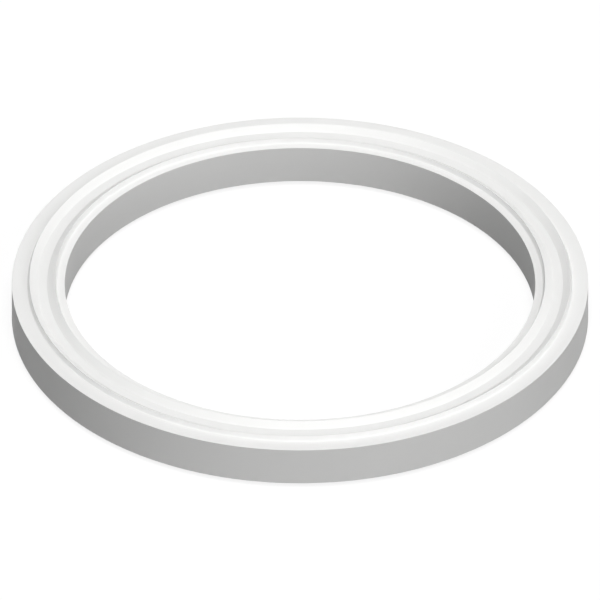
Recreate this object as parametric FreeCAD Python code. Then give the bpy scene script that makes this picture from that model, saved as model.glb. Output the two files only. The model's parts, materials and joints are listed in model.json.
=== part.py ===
import FreeCAD, Part
import os

# Ribbed gasket: one moulded ring of soft white rubber. All sizes are millimetres.
# The bore runs along Z, and the origin is on its axis, halfway through the ring.
# Both faces are alike. From the bore outwards each has a narrow rim, the inner rib,
# a flat land, the outer rib and a wide rim. The two ribs are saw teeth set back to back:
# the gentle slopes run down to the land between them, and the steep flanks face away
# from it, so that pressure in the pipe pushes each sharp crest harder against its seat.

# Bore and body
bore_diameter = 80.0
body_thickness = 6.9

# Widths across each face, in order from the bore to the outer wall
inner_rim_width = 1.35
inner_flank_width = 0.35
inner_slope_width = 1.3
land_width = 1.7
outer_slope_width = 1.3
outer_flank_width = 0.35
outer_rim_width = 2.65

# Height of the crests above the rims
inner_rib_height = 0.9
outer_rib_height = 0.9

# Radii that follow from the widths
bore_radius = bore_diameter / 2
inner_foot = bore_radius + inner_rim_width
inner_crest = inner_foot + inner_flank_width
land_start = inner_crest + inner_slope_width
land_end = land_start + land_width
outer_crest = land_end + outer_slope_width
outer_foot = outer_crest + outer_flank_width
outer_radius = outer_foot + outer_rim_width

origin = FreeCAD.Vector(0, 0, 0)
bore_axis = FreeCAD.Vector(0, 0, 1)


def face_outline():
    """Corners of the upper face's section, from the bore to the outer wall."""
    rim_plane = body_thickness / 2
    corners = [
        (bore_radius, rim_plane),
        (inner_foot, rim_plane),
        (inner_crest, rim_plane + inner_rib_height),
        (land_start, rim_plane),
        (land_end, rim_plane),
        (outer_crest, rim_plane + outer_rib_height),
        (outer_foot, rim_plane),
        (outer_radius, rim_plane),
    ]
    return [FreeCAD.Vector(radius, 0, height) for radius, height in corners]


def ring_section():
    """Closed section of the ring: the upper face, the outer wall, the lower face, the bore."""
    upper = face_outline()
    lower = [FreeCAD.Vector(corner.x, 0, -corner.z) for corner in reversed(upper)]
    outline = Part.makePolygon(upper + lower + upper[:1])
    return Part.Face(outline)


# The gasket is turned from its section about the bore axis
gasket = ring_section().revolve(origin, bore_axis, 360)

os.makedirs("parts", exist_ok=True)
gasket.exportStep("parts/gasket_ring.step")

print("gasket_ring valid:", gasket.isValid(), "volume:", round(gasket.Volume, 1))
print("outer diameter:", round(2 * outer_radius, 2))
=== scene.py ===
"""Looks of a ribbed gasket: one moulded ring of white nitrile rubber, lying on a pale studio floor.

The ring is turned from its section in millimetres, with the small radii that a mould leaves on
every corner, and is finished as rubber pressed in a spark-eroded steel mould. The camera looks down
on it from the isometric angle. A few broad soft lamps light it, most of all from the front and from
overhead, with a low strip behind it.
"""

import json
import logging
import math
from collections.abc import Callable
from dataclasses import dataclass, field
from enum import Enum
from typing import Any

import bmesh
import bpy
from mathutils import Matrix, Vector


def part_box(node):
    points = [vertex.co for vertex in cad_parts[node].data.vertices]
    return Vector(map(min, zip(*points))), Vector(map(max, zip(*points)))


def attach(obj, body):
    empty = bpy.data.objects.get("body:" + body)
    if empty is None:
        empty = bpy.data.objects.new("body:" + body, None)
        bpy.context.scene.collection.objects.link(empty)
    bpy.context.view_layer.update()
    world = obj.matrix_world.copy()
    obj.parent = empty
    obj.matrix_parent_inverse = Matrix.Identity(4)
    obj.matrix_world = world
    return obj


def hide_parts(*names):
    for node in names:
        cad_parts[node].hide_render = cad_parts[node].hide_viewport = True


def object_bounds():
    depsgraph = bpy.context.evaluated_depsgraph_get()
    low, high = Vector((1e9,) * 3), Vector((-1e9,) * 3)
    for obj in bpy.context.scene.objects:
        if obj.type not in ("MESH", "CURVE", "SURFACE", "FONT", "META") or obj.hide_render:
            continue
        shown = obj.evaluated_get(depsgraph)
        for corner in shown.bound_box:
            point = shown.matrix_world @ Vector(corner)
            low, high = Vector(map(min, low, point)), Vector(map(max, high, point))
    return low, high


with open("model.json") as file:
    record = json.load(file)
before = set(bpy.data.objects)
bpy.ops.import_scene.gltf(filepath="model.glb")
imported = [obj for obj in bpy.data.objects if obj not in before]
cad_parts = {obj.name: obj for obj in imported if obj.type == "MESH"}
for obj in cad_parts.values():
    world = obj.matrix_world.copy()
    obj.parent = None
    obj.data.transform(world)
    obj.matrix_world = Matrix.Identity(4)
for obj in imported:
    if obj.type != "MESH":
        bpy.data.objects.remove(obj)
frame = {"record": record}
CAD_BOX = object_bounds()

LOG = logging.getLogger("ribbed_gasket")

MM = 0.001
RING_NODE = "gasket_ring"
BORE_MOUNT = "bore"
BODY = "root"

# A Mix node has sockets of one name for each kind of data, so those for colours go by number.
MIX_FACTOR, MIX_FIRST_COLOUR, MIX_SECOND_COLOUR, MIX_COLOUR_OUT = 0, 6, 7, 2

# Nearly all of a noise lies between these two values.
NOISE_LOW, NOISE_HIGH = 0.3, 0.7


class Corner(Enum):
    """Kinds of corner on the ring's section, by how the mould forms them."""

    CREST = "crest of a rib"
    FLANK_FOOT = "foot of a steep flank"
    SLOPE_FOOT = "foot of a gentle slope"
    EDGE = "edge of the body"


class Unevenness(Enum):
    """What varies over a surface of moulded rubber."""

    TONE = "patches of deeper white"
    GLOSS = "patches of smoother skin"
    WAVE = "shallow waves from the rubber's flow"
    GRAIN = "grain from the mould's eroded skin"


def linear_colour(code: str) -> tuple[float, float, float, float]:
    """Turns an sRGB colour code into the linear colour that a shader takes.

    Args:
        code: Six hex digits after a hash, such as "#F2F2F0".

    Returns:
        Linear red, green and blue, and an alpha of 1.
    """
    levels = [int(code[place:place + 2], 16) / 255 for place in (1, 3, 5)]
    red, green, blue = [
        level / 12.92 if level <= 0.04045 else ((level + 0.055) / 1.055) ** 2.4
        for level in levels
    ]
    return red, green, blue, 1.0


def add_node(
    tree: bpy.types.NodeTree,
    kind: str,
    settings: dict[str | int, Any] | None = None,
    links: dict[str | int, bpy.types.NodeSocket] | None = None,
) -> bpy.types.Node:
    """Adds a shader node, sets it up and feeds its inputs.

    Args:
        tree: The node tree that it joins.
        kind: The node's type name.
        settings: Values by the name of a node property or, failing that, of an input socket.
        links: Output sockets by the name or number of the input that each one feeds.

    Returns:
        The new node.
    """
    node = tree.nodes.new(kind)
    for name, value in (settings or {}).items():
        if isinstance(name, str) and hasattr(node, name):
            setattr(node, name, value)
        else:
            node.inputs[name].default_value = value
    for name, socket in (links or {}).items():
        tree.links.new(socket, node.inputs[name])
    return node


def seen_as_background(tree: bpy.types.NodeTree) -> bpy.types.NodeSocket:
    """Adds a test of which rays see the white background.

    Args:
        tree: The node tree of the floor's finish or of the room.

    Returns:
        1 for camera, glossy and transmission rays, and 0 for all others.
    """
    path = add_node(tree, "ShaderNodeLightPath")
    mirrored = add_node(
        tree, "ShaderNodeMath", {"operation": "MAXIMUM"},
        {0: path.outputs["Is Glossy Ray"], 1: path.outputs["Is Transmission Ray"]},
    )
    seen = add_node(
        tree, "ShaderNodeMath", {"operation": "MAXIMUM"},
        {0: path.outputs["Is Camera Ray"], 1: mirrored.outputs[0]},
    )
    return seen.outputs[0]


def deselect_everything() -> None:
    """Leaves nothing selected, so that the next operator acts only on what it adds."""
    bpy.ops.object.select_all(action="DESELECT")


def select_vertices(piece: bpy.types.Object, wanted: Callable[[Vector], bool]) -> int:
    """Selects vertices of the piece in edit mode by their place, and nothing else.

    Args:
        piece: The object in edit mode.
        wanted: Says whether the vertex at a place is selected.

    Returns:
        How many vertices are selected.
    """
    bpy.ops.mesh.select_mode(type="VERT")
    bpy.ops.mesh.select_all(action="DESELECT")
    mesh = bmesh.from_edit_mesh(piece.data)
    chosen = [vertex for vertex in mesh.verts if wanted(vertex.co)]
    for vertex in chosen:
        vertex.select = True
    mesh.select_flush_mode()
    bmesh.update_edit_mesh(piece.data)
    return len(chosen)


@dataclass(frozen=True)
class Noise:
    """One noise on a surface: the width of its patches in millimetres, and its finer octaves."""

    width: float
    octaves: float


@dataclass(frozen=True)
class MouldedRubber:
    """White nitrile rubber, pressed in a spark-eroded steel mould and left as it came out.

    The rubber is filled with white pigment, so it is opaque and its own colour is even. The mould's
    eroded skin leaves a fine grain that breaks up every reflection and shades the glancing ones, so
    only a weak sheen is left, and the rubber's flow leaves it very slightly wavy and patchy in
    gloss. Widths and depths are in millimetres. The real grain is near 0.1 mm wide, finer than a
    pixel, so it is drawn at 0.3 mm to show.
    """

    name: str = "white_nitrile_rubber_moulded"
    light_tone: str = "#EAEAE9"
    deep_tone: str = "#E6E6E5"
    tone_patches: Noise = Noise(width=9.0, octaves=3.0)
    gloss_patches: Noise = Noise(width=4.0, octaves=2.0)
    flow_waves: Noise = Noise(width=4.0, octaves=0.0)
    mould_grain: Noise = Noise(width=0.30, octaves=1.0)
    wave_depth: float = 0.0060
    grain_depth: float = 0.0030
    smooth_patch: float = 0.51
    rough_patch: float = 0.59
    refraction: float = 1.52
    sheen_level: float = 0.2

    def material(self) -> bpy.types.Material:
        """Makes the finish.

        Returns:
            A material that reads Object coordinates in metres.
        """
        material = bpy.data.materials.new(self.name)
        material.use_nodes = True
        tree = material.node_tree
        tree.nodes.clear()
        pattern = self._patterns(tree)
        tone = add_node(
            tree, "ShaderNodeMix",
            {
                "data_type": "RGBA",
                MIX_FIRST_COLOUR: linear_colour(self.deep_tone),
                MIX_SECOND_COLOUR: linear_colour(self.light_tone),
            },
            {MIX_FACTOR: pattern[Unevenness.TONE]},
        )
        roughness = add_node(
            tree, "ShaderNodeMapRange",
            {
                "From Min": NOISE_LOW,
                "From Max": NOISE_HIGH,
                "To Min": self.smooth_patch,
                "To Max": self.rough_patch,
            },
            {"Value": pattern[Unevenness.GLOSS]},
        )
        wavy = add_node(
            tree, "ShaderNodeBump",
            {"Distance": self.wave_depth * MM},
            {"Height": pattern[Unevenness.WAVE]},
        )
        grained = add_node(
            tree, "ShaderNodeBump",
            {"Distance": self.grain_depth * MM},
            {"Height": pattern[Unevenness.GRAIN], "Normal": wavy.outputs["Normal"]},
        )
        shader = add_node(
            tree, "ShaderNodeBsdfPrincipled",
            {"IOR": self.refraction, "Specular IOR Level": self.sheen_level},
            {
                "Base Color": tone.outputs[MIX_COLOUR_OUT],
                "Roughness": roughness.outputs["Result"],
                "Normal": grained.outputs["Normal"],
            },
        )
        add_node(tree, "ShaderNodeOutputMaterial", links={"Surface": shader.outputs["BSDF"]})
        return material

    def _patterns(self, tree: bpy.types.NodeTree) -> dict[Unevenness, bpy.types.NodeSocket]:
        """Adds one noise for each thing that varies over the rubber.

        Args:
            tree: The material's node tree.

        Returns:
            The noises, each around a half, by what they vary.
        """
        place = add_node(tree, "ShaderNodeTexCoord").outputs["Object"]
        noises = {
            Unevenness.TONE: self.tone_patches,
            Unevenness.GLOSS: self.gloss_patches,
            Unevenness.WAVE: self.flow_waves,
            Unevenness.GRAIN: self.mould_grain,
        }
        return {
            varied: add_node(
                tree, "ShaderNodeTexNoise",
                {"Scale": 1 / (noise.width * MM), "Detail": noise.octaves},
                {"Vector": place},
            ).outputs["Fac"]
            for varied, noise in noises.items()
        }


@dataclass(frozen=True)
class BackdropPaper:
    """White seamless paper, matt and even.

    To the camera and in reflections it is a grey sheet that glows, and the two add up to white,
    a little greyer only where the gasket shades it. To all other light it is a dim sheet that
    throws little back, so that the gasket's walls keep their own shade.
    """

    name: str = "white_backdrop_paper"
    seen_tone: str = "#6C6C6C"
    glow: float = 0.87
    bounce_tone: str = "#303030"

    def material(self) -> bpy.types.Material:
        """Makes the finish.

        Returns:
            A material that is white paper to the camera and a dim sheet to other light.
        """
        material = bpy.data.materials.new(self.name)
        material.use_nodes = True
        tree = material.node_tree
        tree.nodes.clear()
        shaded = add_node(tree, "ShaderNodeBsdfDiffuse", {"Color": linear_colour(self.seen_tone)})
        glow = add_node(tree, "ShaderNodeEmission", {"Strength": self.glow})
        paper = add_node(
            tree, "ShaderNodeAddShader", links={0: shaded.outputs[0], 1: glow.outputs[0]}
        )
        dim = add_node(tree, "ShaderNodeBsdfDiffuse", {"Color": linear_colour(self.bounce_tone)})
        shown = add_node(
            tree, "ShaderNodeMixShader",
            links={0: seen_as_background(tree), 1: dim.outputs[0], 2: paper.outputs[0]},
        )
        add_node(tree, "ShaderNodeOutputMaterial", links={"Surface": shown.outputs[0]})
        return material


@dataclass(frozen=True)
class SectionCorner:
    """One corner of the ring's section, on the upper face and alike on the lower, in millimetres.

    A point within the reach of the corner counts as the corner.
    """

    radius: float
    height: float
    kind: Corner
    reach: float = 0.001

    def is_at(self, place: Vector) -> bool:
        """Says whether a point of the section is this corner, on either face."""
        corner = Vector((self.radius, 0, self.height))
        return (corner - Vector((place.x, place.y, abs(place.z))) / MM).length < self.reach


@dataclass
class GasketRing:
    """The whole gasket: a square-edged ring with two saw-tooth ribs on each face.

    All sizes are in millimetres. The body's radii, its thickness and the crests' height come from
    the frame, and the widths across a face run in order from the bore. A rounding is how far back
    along each side of a corner it starts. The outer wall stays a micrometre inside the frame's box.
    Edges that turn by more than the sharp angle, in degrees, are shaded sharp.
    """

    inner_rim: float = 1.35
    inner_flank: float = 0.35
    inner_slope: float = 1.3
    land: float = 1.7
    outer_slope: float = 1.3
    outer_flank: float = 0.35
    crest_rounding: float = 0.04
    flank_foot_rounding: float = 0.18
    slope_foot_rounding: float = 0.05
    edge_rounding: float = 0.05
    corner_steps: int = 4
    turn_steps: int = 480
    sharp_angle: float = 35.0
    box_margin: float = 0.001
    seam_gap: float = 0.0001
    finish: MouldedRubber = MouldedRubber()
    bore_radius: float = field(init=False)
    outer_radius: float = field(init=False)
    rim_plane: float = field(init=False)
    crest_plane: float = field(init=False)

    def __post_init__(self) -> None:
        """Reads the ring's overall sizes from the frame."""
        _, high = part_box(RING_NODE)
        bore = next(mount for mount in frame["record"]["mounts"] if mount["name"] == BORE_MOUNT)
        self.bore_radius = bore["dims"]["r_mm"]
        self.rim_plane = bore["dims"]["length_mm"] / 2
        self.outer_radius = high.x / MM - self.box_margin
        self.crest_plane = high.z / MM

    def build(self) -> bpy.types.Object:
        """Models the ring from its section.

        Returns:
            The finished ring, its place in its mesh.
        """
        ring = self._plain_section()
        self._raise_ribs(ring)
        self._round_corners(ring)
        self._turn_section()
        bpy.ops.object.mode_set(mode="OBJECT")
        self._smooth(ring)
        return ring

    def dress(self, ring: bpy.types.Object) -> None:
        """Gives the ring its finish and its place in the frame.

        Args:
            ring: The finished ring.
        """
        ring.data.materials.clear()
        ring.data.materials.append(self.finish.material())
        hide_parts(RING_NODE)
        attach(ring, BODY)

    def _corners(self) -> list[SectionCorner]:
        """Lists the section's corners across a face.

        Returns:
            The corners in order from the bore to the outer wall.
        """
        steps = (
            (0.0, Corner.EDGE),
            (self.inner_rim, Corner.FLANK_FOOT),
            (self.inner_flank, Corner.CREST),
            (self.inner_slope, Corner.SLOPE_FOOT),
            (self.land, Corner.SLOPE_FOOT),
            (self.outer_slope, Corner.CREST),
            (self.outer_flank, Corner.FLANK_FOOT),
        )
        corners = []
        radius = self.bore_radius
        for width, kind in steps:
            radius += width
            height = self.crest_plane if kind is Corner.CREST else self.rim_plane
            corners.append(SectionCorner(radius, height, kind))
        corners.append(SectionCorner(self.outer_radius, self.rim_plane, Corner.EDGE))
        return corners

    def _plain_section(self) -> bpy.types.Object:
        """Adds the body's plain section, a plate that stands in the XZ plane.

        Returns:
            The plate, open in edit mode, with its size and place in its mesh.
        """
        deselect_everything()
        width = self.outer_radius - self.bore_radius
        middle = ((self.bore_radius + width / 2) * MM, 0, 0)
        upright = (math.radians(90), 0, 0)
        bpy.ops.mesh.primitive_plane_add(size=MM, location=middle, rotation=upright)
        bpy.ops.object.transform_apply(location=True, rotation=True, scale=True)
        plate = bpy.context.object
        plate.name = plate.data.name = "moulded_gasket_ring"
        bpy.ops.object.mode_set(mode="EDIT")
        bpy.ops.transform.resize(value=(width, 1, 2 * self.rim_plane), center_override=middle)
        return plate

    def _raise_ribs(self, ring: bpy.types.Object) -> None:
        """Cuts the section at each corner's radius and draws the crests out of both faces.

        Args:
            ring: The section in edit mode.
        """
        corners = [corner for corner in self._corners() if corner.kind is not Corner.EDGE]
        for corner in corners:
            bpy.ops.mesh.select_all(action="SELECT")
            bpy.ops.mesh.bisect(plane_co=(corner.radius * MM, 0, 0), plane_no=(1, 0, 0))
        low_crests = [
            SectionCorner(corner.radius, self.rim_plane, corner.kind)
            for corner in corners if corner.kind is Corner.CREST
        ]
        select_vertices(ring, lambda place: any(crest.is_at(place) for crest in low_crests))
        bpy.ops.transform.resize(
            value=(1, 1, self.crest_plane / self.rim_plane), center_override=(0, 0, 0)
        )
        bpy.ops.mesh.select_all(action="SELECT")
        bpy.ops.mesh.dissolve_faces()

    def _round_corners(self, ring: bpy.types.Object) -> None:
        """Rounds every corner of the section by its kind.

        Args:
            ring: The section in edit mode.
        """
        roundings = {
            Corner.CREST: self.crest_rounding,
            Corner.FLANK_FOOT: self.flank_foot_rounding,
            Corner.SLOPE_FOOT: self.slope_foot_rounding,
            Corner.EDGE: self.edge_rounding,
        }
        for kind, rounding in roundings.items():
            corners = [corner for corner in self._corners() if corner.kind is kind]
            count = select_vertices(
                ring, lambda place: any(corner.is_at(place) for corner in corners)
            )
            bpy.ops.mesh.bevel(
                offset=rounding * MM, segments=self.corner_steps,
                affect="VERTICES", clamp_overlap=True,
            )
            LOG.info("rounded %d corners at the %s", count, kind.value)

    def _turn_section(self) -> None:
        """Turns the section's outline about the bore axis and closes the seam."""
        bpy.ops.mesh.select_all(action="SELECT")
        bpy.ops.mesh.delete(type="ONLY_FACE")
        bpy.ops.mesh.select_all(action="SELECT")
        bpy.ops.mesh.spin(steps=self.turn_steps, angle=math.tau, center=(0, 0, 0), axis=(0, 0, 1))
        bpy.ops.mesh.select_all(action="SELECT")
        bpy.ops.mesh.remove_doubles(threshold=self.seam_gap * MM)
        bpy.ops.mesh.normals_make_consistent(inside=False)

    def _smooth(self, ring: bpy.types.Object) -> None:
        """Shades the rounded corners smooth and keeps the broad faces flat.

        Args:
            ring: The turned ring, in object mode.
        """
        deselect_everything()
        ring.select_set(True)
        bpy.context.view_layer.objects.active = ring
        bpy.ops.object.shade_smooth_by_angle(angle=math.radians(self.sharp_angle))
        bpy.ops.object.modifier_add(type="WEIGHTED_NORMAL")
        weighting = ring.modifiers[-1]
        weighting.keep_sharp = True
        bpy.ops.object.modifier_apply(modifier=weighting.name)


@dataclass
class StudioFloor:
    """The sheet of backdrop paper that the gasket lies on, its width in millimetres."""

    width: float = 6000.0
    finish: BackdropPaper = BackdropPaper()

    def build(self) -> bpy.types.Object:
        """Lays the sheet level with the lowest crests.

        Returns:
            The sheet, its place in its mesh.
        """
        deselect_everything()
        low, _ = CAD_BOX
        bpy.ops.mesh.primitive_plane_add(size=self.width * MM, location=(0, 0, low.z))
        bpy.ops.object.transform_apply(location=True, rotation=True, scale=True)
        sheet = bpy.context.object
        sheet.name = sheet.data.name = "backdrop_sheet"
        return sheet

    def dress(self, sheet: bpy.types.Object) -> None:
        """Gives the sheet its finish."""
        sheet.data.materials.append(self.finish.material())


@dataclass(frozen=True)
class Softbox:
    """One broad soft lamp, far enough away that it lights the whole gasket alike.

    The azimuth runs from the right of the picture towards the back, and the elevation up from the
    floor, in degrees. The level is how bright it alone makes a white card that faces it, and the
    spread is how wide the lamp looks from the gasket, in degrees.
    """

    name: str
    azimuth: float
    elevation: float
    level: float
    spread: float = 30.0

    def hang(self) -> bpy.types.Object:
        """Adds the lamp, aimed at the gasket.

        Returns:
            The lamp.
        """
        lamp = bpy.data.lights.new(self.name, "SUN")
        lamp.energy = math.pi * self.level
        lamp.angle = math.radians(self.spread)
        holder = bpy.data.objects.new(self.name, lamp)
        bpy.context.scene.collection.objects.link(holder)
        turn, rise = math.radians(self.azimuth), math.radians(self.elevation)
        towards = Vector(
            (math.cos(rise) * math.cos(turn), math.cos(rise) * math.sin(turn), math.sin(rise))
        )
        holder.rotation_euler = towards.to_track_quat("Z", "Y").to_euler()
        return holder


@dataclass(frozen=True)
class GlowBand:
    """One level of the room's glow, between two elevations in degrees, with soft edges.

    The edges go by the sine of the elevation, so the softness ends short of 90 degrees.
    """

    low: float
    high: float
    level: float
    softness: float = 3.0

    def ramp(self, edge: float) -> dict[str, float]:
        """Gives the settings of a ramp from 0 to 1 across one edge of the band.

        Args:
            edge: The edge's elevation.

        Returns:
            The sines of the elevations where the ramp starts and ends.
        """
        return {
            "From Min": math.sin(math.radians(edge - self.softness / 2)),
            "From Max": math.sin(math.radians(edge + self.softness / 2)),
        }


@dataclass
class Studio:
    """The light round the gasket: broad lamps, a faint glow from the ceiling and a lit horizon.

    The strip at the back stands so low that it lights little but the ring's walls on that side.
    """

    softboxes: tuple[Softbox, ...] = (
        Softbox("top_front", azimuth=270, elevation=68, level=0.79),
        Softbox("key_front_right", azimuth=312, elevation=30, level=0.26),
        Softbox("side_right", azimuth=16, elevation=30, level=0.12),
        Softbox("fill_front_left", azimuth=225, elevation=30, level=0.058),
        Softbox("low_strip_back", azimuth=95, elevation=3, level=0.18, spread=5.0),
    )
    room: tuple[GlowBand, ...] = (
        GlowBand(low=-20, high=6, level=1.0),
        GlowBand(low=30, high=88, level=0.06),
    )

    def light(self) -> None:
        """Hangs the lamps and sets the room's glow, white where the camera sees past the floor."""
        for softbox in self.softboxes:
            softbox.hang()
        world = bpy.data.worlds.new("studio_room")
        world.use_nodes = True
        tree = world.node_tree
        tree.nodes.clear()
        plain_white = {"Color": linear_colour("#FFFFFF"), "Strength": 1.0}
        white = add_node(tree, "ShaderNodeBackground", plain_white)
        room = add_node(tree, "ShaderNodeBackground", plain_white, {"Strength": self._glow(tree)})
        shown = add_node(
            tree, "ShaderNodeMixShader",
            links={0: seen_as_background(tree), 1: room.outputs[0], 2: white.outputs[0]},
        )
        add_node(tree, "ShaderNodeOutputWorld", links={"Surface": shown.outputs[0]})
        bpy.context.scene.world = world

    def _glow(self, tree: bpy.types.NodeTree) -> bpy.types.NodeSocket:
        """Adds the room's brightness by elevation.

        Args:
            tree: The world's node tree.

        Returns:
            The sum of the glow bands.
        """
        direction = add_node(tree, "ShaderNodeTexCoord").outputs["Generated"]
        rise = add_node(tree, "ShaderNodeSeparateXYZ", links={0: direction}).outputs["Z"]
        total = None
        for band in self.room:
            above_low, above_high = (
                add_node(
                    tree, "ShaderNodeMapRange", band.ramp(edge), {"Value": rise}
                ).outputs["Result"]
                for edge in (band.low, band.high)
            )
            inside = add_node(
                tree, "ShaderNodeMath", {"operation": "SUBTRACT"}, {0: above_low, 1: above_high}
            )
            lower_bands = {} if total is None else {2: total}
            total = add_node(
                tree, "ShaderNodeMath",
                {"operation": "MULTIPLY_ADD", 1: band.level, 2: 0.0},
                {0: inside.outputs[0], **lower_bands},
            ).outputs[0]
        return total


@dataclass
class CatalogueCamera:
    """A parallel camera at the isometric angle, as in a catalogue picture.

    Sizes are in millimetres, and the elevation is in degrees.
    """

    elevation: float = math.degrees(math.atan(1 / math.sqrt(2)))
    picture_side: float = 102.012
    aim_height: float = 0.0875
    distance: float = 400.0
    nearest: float = 4.0
    farthest: float = 40000.0

    def place(self) -> bpy.types.Object:
        """Sets the scene's camera.

        Returns:
            The camera.
        """
        camera = bpy.data.cameras.new("catalogue_camera")
        camera.type = "ORTHO"
        camera.ortho_scale = self.picture_side * MM
        camera.clip_start = self.nearest * MM
        camera.clip_end = self.farthest * MM
        holder = bpy.data.objects.new("catalogue_camera", camera)
        bpy.context.scene.collection.objects.link(holder)
        rise = math.radians(self.elevation)
        back = Vector((0, -math.cos(rise), math.sin(rise)))
        holder.location = Vector((0, 0, self.aim_height * MM)) + back * self.distance * MM
        holder.rotation_euler = (-back).to_track_quat("-Z", "Y").to_euler()
        bpy.context.scene.camera = holder
        return holder


def main() -> None:
    """Builds the gasket, then its floor, light and camera."""
    logging.basicConfig(level=logging.INFO, format="%(name)s: %(message)s")
    bpy.context.scene.view_settings.view_transform = "Standard"
    gasket = GasketRing()
    ring = gasket.build()
    gasket.dress(ring)
    LOG.info("%s: %d faces, rides on %s", ring.name, len(ring.data.polygons), BODY)
    floor = StudioFloor()
    sheet = floor.build()
    floor.dress(sheet)
    LOG.info("%s: stage", sheet.name)
    Studio().light()
    CatalogueCamera().place()


if __name__ == "__main__":
    main()
